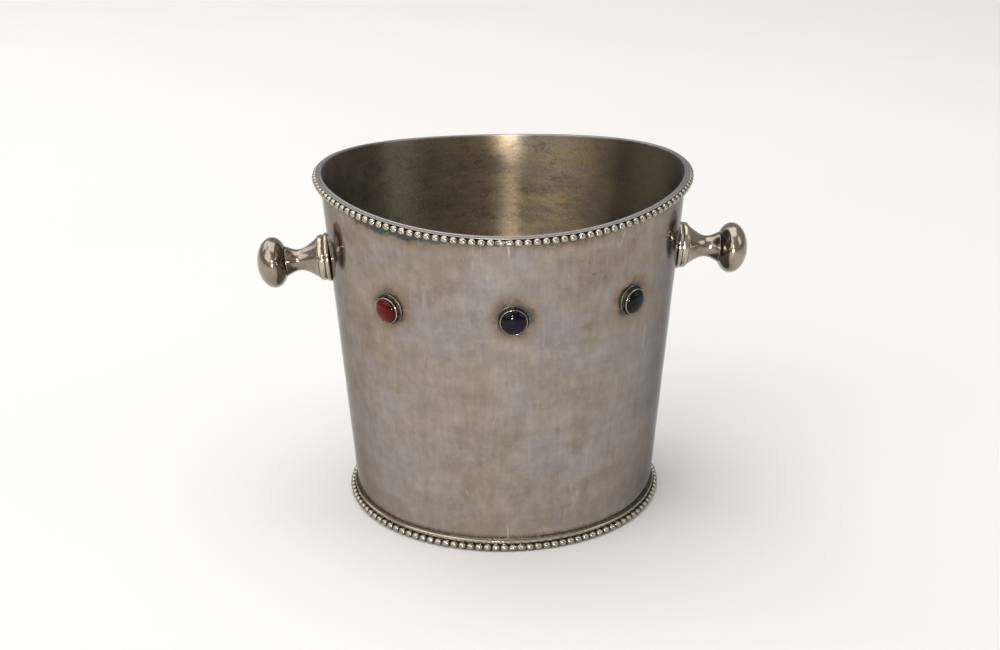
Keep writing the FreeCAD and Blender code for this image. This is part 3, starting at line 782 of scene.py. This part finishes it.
def bead_path(out, height_at, reference_at):
    """A wire's line: `out` from the wall's face as it is at the reference height, and at its own height."""
    def place_at(angle):
        place, outward = wall_place(angle, reference_at(angle))
        spot = place + outward * out
        return Vector((spot.x, spot.y, height_at(angle))), outward
    return place_at


RIM_JOINT, FOOT_JOINT = math.radians(-91.2), math.radians(-86.5)         # where each wire's ends meet
RIM_FULLER, FOOT_FULLER = 2.1, 2.3
rim_beads = bead_path(RIM_BEAD_OUT, lambda angle: rim_height(angle) - RIM_BEAD_DOWN, rim_height)
foot_beads = bead_path(FOOT_BEAD_OUT, lambda angle: FOOT_BEAD_LEVEL, lambda angle: 0.0)
build_bead_wire("rim_beads", rim_beads, "rim_bead_wire", RIM_JOINT, RIM_FULLER)
build_bead_wire("foot_beads", foot_beads, "foot_bead_wire", FOOT_JOINT, FOOT_FULLER)

# ---------------------------------------------------------------- turned pieces

TURN_STEPS = 128


def build_turned(name, profile, origin, axis, material, slot, node, bright=0.0):
    """Turns (along, radius, hollow) points about an axis. Points of no radius close the piece's ends."""
    side = axis.cross(UP).normalized()
    up = side.cross(axis).normalized()
    vertices, hollow, rings = [], [], []
    for along, radius, deep in profile:
        centre = origin + axis * along
        if radius < 1e-7:
            rings.append([len(vertices)])
            vertices.append(centre)
            hollow.append(deep)
            continue
        ring = []
        for k in range(TURN_STEPS):
            turn = 2 * math.pi * k / TURN_STEPS
            ring.append(len(vertices))
            vertices.append(centre + (side * math.cos(turn) + up * math.sin(turn)) * radius)
            hollow.append(deep)
        rings.append(ring)
    faces = []
    closed = len(rings[0]) > 1
    pairs = zip(rings, rings[1:] + rings[:1]) if closed else zip(rings, rings[1:])
    for first, second in pairs:
        for k in range(TURN_STEPS):
            m = (k + 1) % TURN_STEPS
            if len(first) == 1:
                faces.append((first[0], second[m], second[k]))
            elif len(second) == 1:
                faces.append((first[k], first[m], second[0]))
            else:
                faces.append((first[k], first[m], second[m], second[k]))
    mesh = bpy.data.meshes.new(name)
    mesh.from_pydata(vertices, [], faces)
    add_attribute(mesh, "hollow", hollow)
    add_attribute(mesh, "bright", [bright] * len(vertices))
    mesh.materials.append(material)
    return finish_piece(name, mesh, slot, node)


def curve_through(knots, steps):
    """Points on a smooth cubic through (along, radius) knots."""
    x = np.array([k[0] for k in knots])
    y = np.array([k[1] for k in knots])
    count = len(x)
    h = np.diff(x)
    system = np.zeros((count, count))
    right = np.zeros(count)
    system[0, 0:2] = (2 * h[0], h[0])
    system[-1, -2:] = (h[-1], 2 * h[-1])
    right[0] = 3 * (y[1] - y[0])
    right[-1] = 3 * (y[-1] - y[-2])
    for i in range(1, count - 1):
        system[i, i - 1:i + 2] = (h[i], 2 * (h[i - 1] + h[i]), h[i - 1])
        right[i] = 3 * ((y[i] - y[i - 1]) / h[i - 1] * h[i] + (y[i + 1] - y[i]) / h[i] * h[i - 1])
    slope = np.linalg.solve(system, right)
    points = []
    for s in np.linspace(x[0], x[-1], steps):
        i = min(int(np.searchsorted(x, s, "right")) - 1, count - 2)
        t = (s - x[i]) / h[i]
        value = ((1 + 2 * t) * (1 - t) ** 2 * y[i] + t * (1 - t) ** 2 * h[i] * slope[i]
                 + t * t * (3 - 2 * t) * y[i + 1] + t * t * (t - 1) * h[i] * slope[i + 1])
        points.append((float(s), float(value)))
    return points


GROOVE = 0.5 * MM
GROOVE_WIDTH = 0.3 * MM
CROWN = 0.32 * MM
STUD_RADIUS = max(along_axis("left_handle_stud", *HANDLES["left"])[1])
BORE = STUD_RADIUS + 0.05 * MM
NECK_SHAPE = ((0.0, 25.6), (4.4, 19.2), (12.2, 12.8), (19.9, 18.2))     # mm from its foot, diameter in mm
NECK_STEPS = 56
CROWN_STEPS = 12
KNOB_WIDEST = 7.4 * MM       # from the knob's back to where it is widest
KNOB_BACK_STEPS, KNOB_FRONT_STEPS = 32, 40
# how strongly painted sheen lightens the base ring and the second ring
FLANGE_BRIGHT, COLLAR_BRIGHT = 0.48, 0.6
polish = polished_silver()


def ring_profile(start, end, radius):
    """A crowned ring with a groove at its outer end, from (along, radius, hollow) points."""
    edge = radius - CROWN
    bulge_end = end - GROOVE_WIDTH
    crown = []
    for k in range(CROWN_STEPS + 1):
        t = k / CROWN_STEPS
        # `deep` paints shade at the crown's ends, and the groove points below paint it in the groove
        deep = 0.35 * smooth_step((abs(t - 0.5) - 0.40) / 0.10)
        crown.append((start + (bulge_end - start) * t, edge + CROWN * (1 - (2 * t - 1) ** 2), float(deep)))
    return [(start, BORE, 1.0)] + crown + [
        (bulge_end + 0.02 * MM, edge - 0.25 * MM, 1.0),
        (bulge_end + 0.08 * MM, edge - GROOVE, 1.0),
        (end, edge - GROOVE, 1.0),
        (end, BORE, 1.0),
    ]


def build_handle(side):
    """Base ring, second ring, waisted stem and ball, turned about the CAD handle's axis."""
    origin, axis = HANDLES[side]
    reach = {piece: along_axis(f"{side}_handle_{piece}", origin, axis)
             for piece in ("flange", "collar", "neck", "knob")}
    flange_radius, collar_radius = (float(reach[p][1].max()) for p in ("flange", "collar"))
    collar_start, neck_start, knob_start, knob_end = (
        float(x) for x in (reach["collar"][0].min(), reach["neck"][0].min(),
                           reach["knob"][0].min(), reach["knob"][0].max()))
    name = f"{side}_handle"
    build_turned(f"{name}_base_ring", ring_profile(-0.35 * MM, collar_start, flange_radius), origin, axis,
                 polish, "silver_polished", f"{name}_flange", FLANGE_BRIGHT)
    build_turned(f"{name}_second_ring", ring_profile(collar_start, neck_start, collar_radius), origin, axis,
                 polish, "silver_polished", f"{name}_collar", COLLAR_BRIGHT)

    knots = [(neck_start + along * MM, width * MM / 2) for along, width in NECK_SHAPE]
    outline = curve_through(knots, NECK_STEPS)
    neck = [(neck_start, BORE, 1.0), (neck_start, knots[0][1] - 0.15 * MM, 0.9)]
    for along, radius in outline[1:]:
        # painted shade where the stem meets the second ring
        deep = 0.5 * smooth_step((0.35 * MM - (along - neck_start)) / (0.35 * MM))
        neck.append((along, radius, float(deep)))
    neck[-1] = (neck[-1][0] - 0.05 * MM, neck[-1][1], 0.0)
    top = knots[-1]
    neck += [(top[0], top[1] - 0.08 * MM, 0.2), (top[0] + 0.03 * MM, top[1] - 0.35 * MM, 0.9),
             (top[0] + 0.06 * MM, top[1] - GROOVE, 1.0), (knob_start, top[1] - GROOVE, 1.0),
             (knob_start, BORE, 1.0)]
    build_turned(f"{name}_stem", neck, origin, axis, polish, "silver_polished", f"{name}_neck")

    radius = float(reach["knob"][1].max())
    widest = knob_start + KNOB_WIDEST
    first = math.acos(top[1] / radius)
    back = (widest - knob_start) / math.sin(first)
    front = knob_end - widest
    # painted shade in the groove at the ball's foot
    knob = [(knob_start, 0.0, 1.0), (knob_start, top[1] - 0.25 * MM, 0.9),
            (knob_start + 0.03 * MM, top[1] - 0.06 * MM, 0.5)]
    for k in range(1, KNOB_BACK_STEPS + 1):
        turn = -first * (1 - k / KNOB_BACK_STEPS)
        knob.append((widest + back * math.sin(turn), radius * math.cos(turn), 0.0))
    for k in range(1, KNOB_FRONT_STEPS + 1):
        turn = math.pi / 2 * k / KNOB_FRONT_STEPS
        across = radius * math.cos(turn) if k < KNOB_FRONT_STEPS else 0.0
        knob.append((widest + front * math.sin(turn), across, 0.0))
    build_turned(f"{name}_ball", knob, origin, axis, polish, "silver_polished", f"{name}_knob")


for handle_side in SIDES:
    build_handle(handle_side)

# ---------------------------------------------------------------- stones and collets

STONE_RADIUS = 7.35 * MM
STONE_DOME = 3.8 * MM
DOME_STEPS = 36
GIRDLE = 1.0 * MM
SEAT_HOLE = 5.25 * MM        # radius of the opening behind the stone
LEDGE = 1.5 * MM             # from the collet's foot to the stone's back
COLLET_HEIGHT = 3.2 * MM
COLLET_LIP = 7.9 * MM        # radius of the collet's upper part
# the second colour is the painted shade on the collet's side
collet_silver = trim_silver("silver_collet", (0.44, 0.395, 0.330), (0.022, 0.024, 0.020), 0.12, 0.24)
GEMS = {
    "stone_red": gem("stone_red", (0.085, 0.002, 0.002), (0.150, 0.006, 0.005), 0.006),
    "stone_blue": gem("stone_blue", (0.004, 0.003, 0.008), (0.009, 0.007, 0.021), 0.005),
    "stone_green": gem("stone_green", (0.003, 0.005, 0.004), (0.008, 0.014, 0.011), 0.005),
}
SLOT_OF = {row["node"]: row["material_slot"] for row in frame["record"]["subparts"]}


def build_stone(name):
    """A round cabochon and its bezel, turned about the CAD stone's axis."""
    seat, axis = SEATS[name]
    slot = SLOT_OF[f"{name}_stone"]
    dome = [(0.0, 0.0, 1.0), (0.0, STONE_RADIUS - 0.2 * MM, 1.0),
            (0.2 * MM, STONE_RADIUS, 1.0), (GIRDLE, STONE_RADIUS, 1.0)]
    for k in range(1, DOME_STEPS + 1):
        turn = math.pi / 2 * k / DOME_STEPS
        # `edge` paints shade on the dome towards the bezel
        edge = float(smooth_step((math.cos(turn) - 0.62) / 0.38))
        across = STONE_RADIUS * math.cos(turn) if k < DOME_STEPS else 0.0
        dome.append((GIRDLE + STONE_DOME * math.sin(turn), across, edge))
    build_turned(f"{name}_cabochon", dome, seat, axis, GEMS[slot], slot, f"{name}_stone")

    base = COLLET_RADIUS
    ledge = -LEDGE
    # the third number of each point is `hollow`: painted shade on the collet's side and ledge, none on its
    # lip
    collet = rounded([
        (ledge - 1.0 * MM, SEAT_HOLE, 1.0),
        (ledge - 1.0 * MM, base, 1.0),
        (ledge + 0.30 * MM, base, 0.75),
        (ledge + 0.50 * MM, base - 0.25 * MM, 0.62),
        (ledge + 0.75 * MM, base - 0.60 * MM, 0.95),
        (ledge + 1.25 * MM, COLLET_LIP + 0.10 * MM, 0.9),
        (ledge + COLLET_HEIGHT - 0.60 * MM, COLLET_LIP, 0.88),
        (ledge + COLLET_HEIGHT - 0.25 * MM, COLLET_LIP - 0.12 * MM, 0.42),
        (ledge + COLLET_HEIGHT, COLLET_LIP - 0.45 * MM, 0.0),
        (ledge + COLLET_HEIGHT - 0.12 * MM, STONE_RADIUS - 0.05 * MM, 0.5),
        (GIRDLE - 0.1 * MM, STONE_RADIUS + 0.05 * MM, 1.0),
        (0.0, STONE_RADIUS + 0.05 * MM, 1.0),
        (0.0, SEAT_HOLE, 1.0),
    ], 0.12 * MM, 3)
    build_turned(f"{name}_bezel", collet, seat, axis, collet_silver, "silver_collet", f"{name}_collet")


for stone_name in STONES:
    build_stone(stone_name)

# ---------------------------------------------------------------- fixings and base, on the CAD's own shapes


def dress(node, material, bevel):
    """Gives a CAD piece its material and slightly rounded edges."""
    piece = NODES[node]
    weld = piece.modifiers.new("weld", "WELD")
    weld.merge_threshold = 1e-6
    edge = piece.modifiers.new("bevel", "BEVEL")
    edge.width, edge.segments, edge.limit_method, edge.angle_limit = bevel, 3, "ANGLE", math.radians(32)
    piece.data.materials.clear()
    piece.data.materials.append(material)


fixing = brass()
for handle_side in SIDES:
    for part, bevel in (("stud", 0.2 * MM), ("washer", 0.12 * MM), ("nut", 0.25 * MM)):
        dress(f"{handle_side}_handle_{part}", fixing, bevel)
dress("base_pan", inside_silver, 0.3 * MM)

# ---------------------------------------------------------------- camera

CAMERA_PLACE = Vector((-50.84, -914.16, 487.36)) * MM
CAMERA_YAW, CAMERA_PITCH, CAMERA_ROLL = 0.0531, 0.3929, -0.0050
CAMERA_LENS, CAMERA_SENSOR = 57.43, 36.0


def make_camera():
    level_part = math.cos(CAMERA_PITCH)
    forward = Vector((math.sin(CAMERA_YAW) * level_part, math.cos(CAMERA_YAW) * level_part,
                      -math.sin(CAMERA_PITCH)))
    level = Vector((math.cos(CAMERA_YAW), -math.sin(CAMERA_YAW), 0))
    upright = level.cross(forward)
    right = level * math.cos(CAMERA_ROLL) + upright * math.sin(CAMERA_ROLL)
    up = upright * math.cos(CAMERA_ROLL) - level * math.sin(CAMERA_ROLL)
    lens = bpy.data.cameras.new("camera")
    lens.lens, lens.sensor_width, lens.sensor_fit = CAMERA_LENS, CAMERA_SENSOR, "HORIZONTAL"
    lens.clip_start, lens.clip_end = 0.05, 50
    camera = bpy.data.objects.new("camera", lens)
    turn = Matrix((right, up, -forward)).transposed()
    camera.matrix_world = Matrix.Translation(CAMERA_PLACE) @ turn.to_4x4()
    bpy.context.scene.collection.objects.link(camera)
    bpy.context.scene.camera = camera


make_camera()

# ---------------------------------------------------------------- floor, light

FLOOR_SIDE = 14.0


def make_floor():
    n = Nodes("pale_floor")
    tone = n.spread(n.noise(0.35, 3.0, 0.5), 0.3, 0.7, 0.84, 0.86)
    n.set(Base_Color=n.grey(tone), Roughness=0.75)
    mesh = bpy.data.meshes.new("floor")
    half = FLOOR_SIDE / 2
    corners = [(-half, -half, 0), (half, -half, 0), (half, half, 0), (-half, half, 0)]
    mesh.from_pydata(corners, [], [(0, 1, 2, 3)])
    mesh.materials.append(n.material)
    floor = bpy.data.objects.new("floor", mesh)
    bpy.context.scene.collection.objects.link(floor)


def soft_light(name, place, aim, size, power, colour, sparkle=False):
    """A rectangular light; a sparkle shows only in polished surfaces."""
    light = bpy.data.lights.new(name, "AREA")
    light.shape, light.size, light.size_y = "RECTANGLE", size[0], size[1]
    light.energy, light.color = power, colour
    lamp = bpy.data.objects.new(name, light)
    lamp.location = place
    lamp.rotation_mode = "QUATERNION"
    lamp.rotation_quaternion = (Vector(aim) - Vector(place)).to_track_quat("-Z", "Y")
    lamp.visible_camera = False
    lamp.visible_diffuse = not sparkle
    bpy.context.scene.collection.objects.link(lamp)


def make_world():
    world = bpy.data.worlds.new("studio")
    world.use_nodes = True
    tree = world.node_tree
    coordinates = tree.nodes.new("ShaderNodeTexCoord").outputs["Generated"]
    split = tree.nodes.new("ShaderNodeSeparateXYZ")
    tree.links.new(coordinates, split.inputs[0])
    ramp = tree.nodes.new("ShaderNodeValToRGB")
    tree.links.new(split.outputs["Z"], ramp.inputs[0])
    stops = ramp.color_ramp.elements
    stops[0].position, stops[0].color = 0.0, (0.90, 0.88, 0.86, 1)
    stops[1].position, stops[1].color = 0.45, (1.0, 0.96, 0.91, 1)
    tree.links.new(ramp.outputs["Color"], tree.nodes["Background"].inputs["Color"])
    tree.nodes["Background"].inputs["Strength"].default_value = 0.45
    bpy.context.scene.world = world


make_floor()
make_world()
soft_light("key", (-1.5, -1.1, 1.7), (0, 0, 0.1), (2.4, 2.0), 24, (1.0, 0.965, 0.90))
soft_light("back", (-1.5, 1.3, 1.7), (0, 0, 0.1), (1.8, 1.6), 12, (1.0, 0.97, 0.92))
soft_light("fill", (1.8, -0.6, 1.2), (0, 0, 0.1), (0.9, 1.1), 5.0, (0.96, 0.97, 1.0))
soft_light("top", (0.0, 0.6, 3.6), (0, 0.2, 0), (3.6, 3.6), 72, (1.0, 0.985, 0.96))
soft_light("flash", (-0.12, -0.92, 0.60), (0, 0, 0.12), (0.06, 0.04), 1.9, (1.0, 0.96, 0.89), sparkle=True)
soft_light("spark", (-0.10, -1.00, 0.25), (0, 0, 0.14), (0.10, 0.08), 5.0, (1.0, 0.98, 0.95), sparkle=True)
bpy.context.scene.view_settings.view_transform = "Standard"
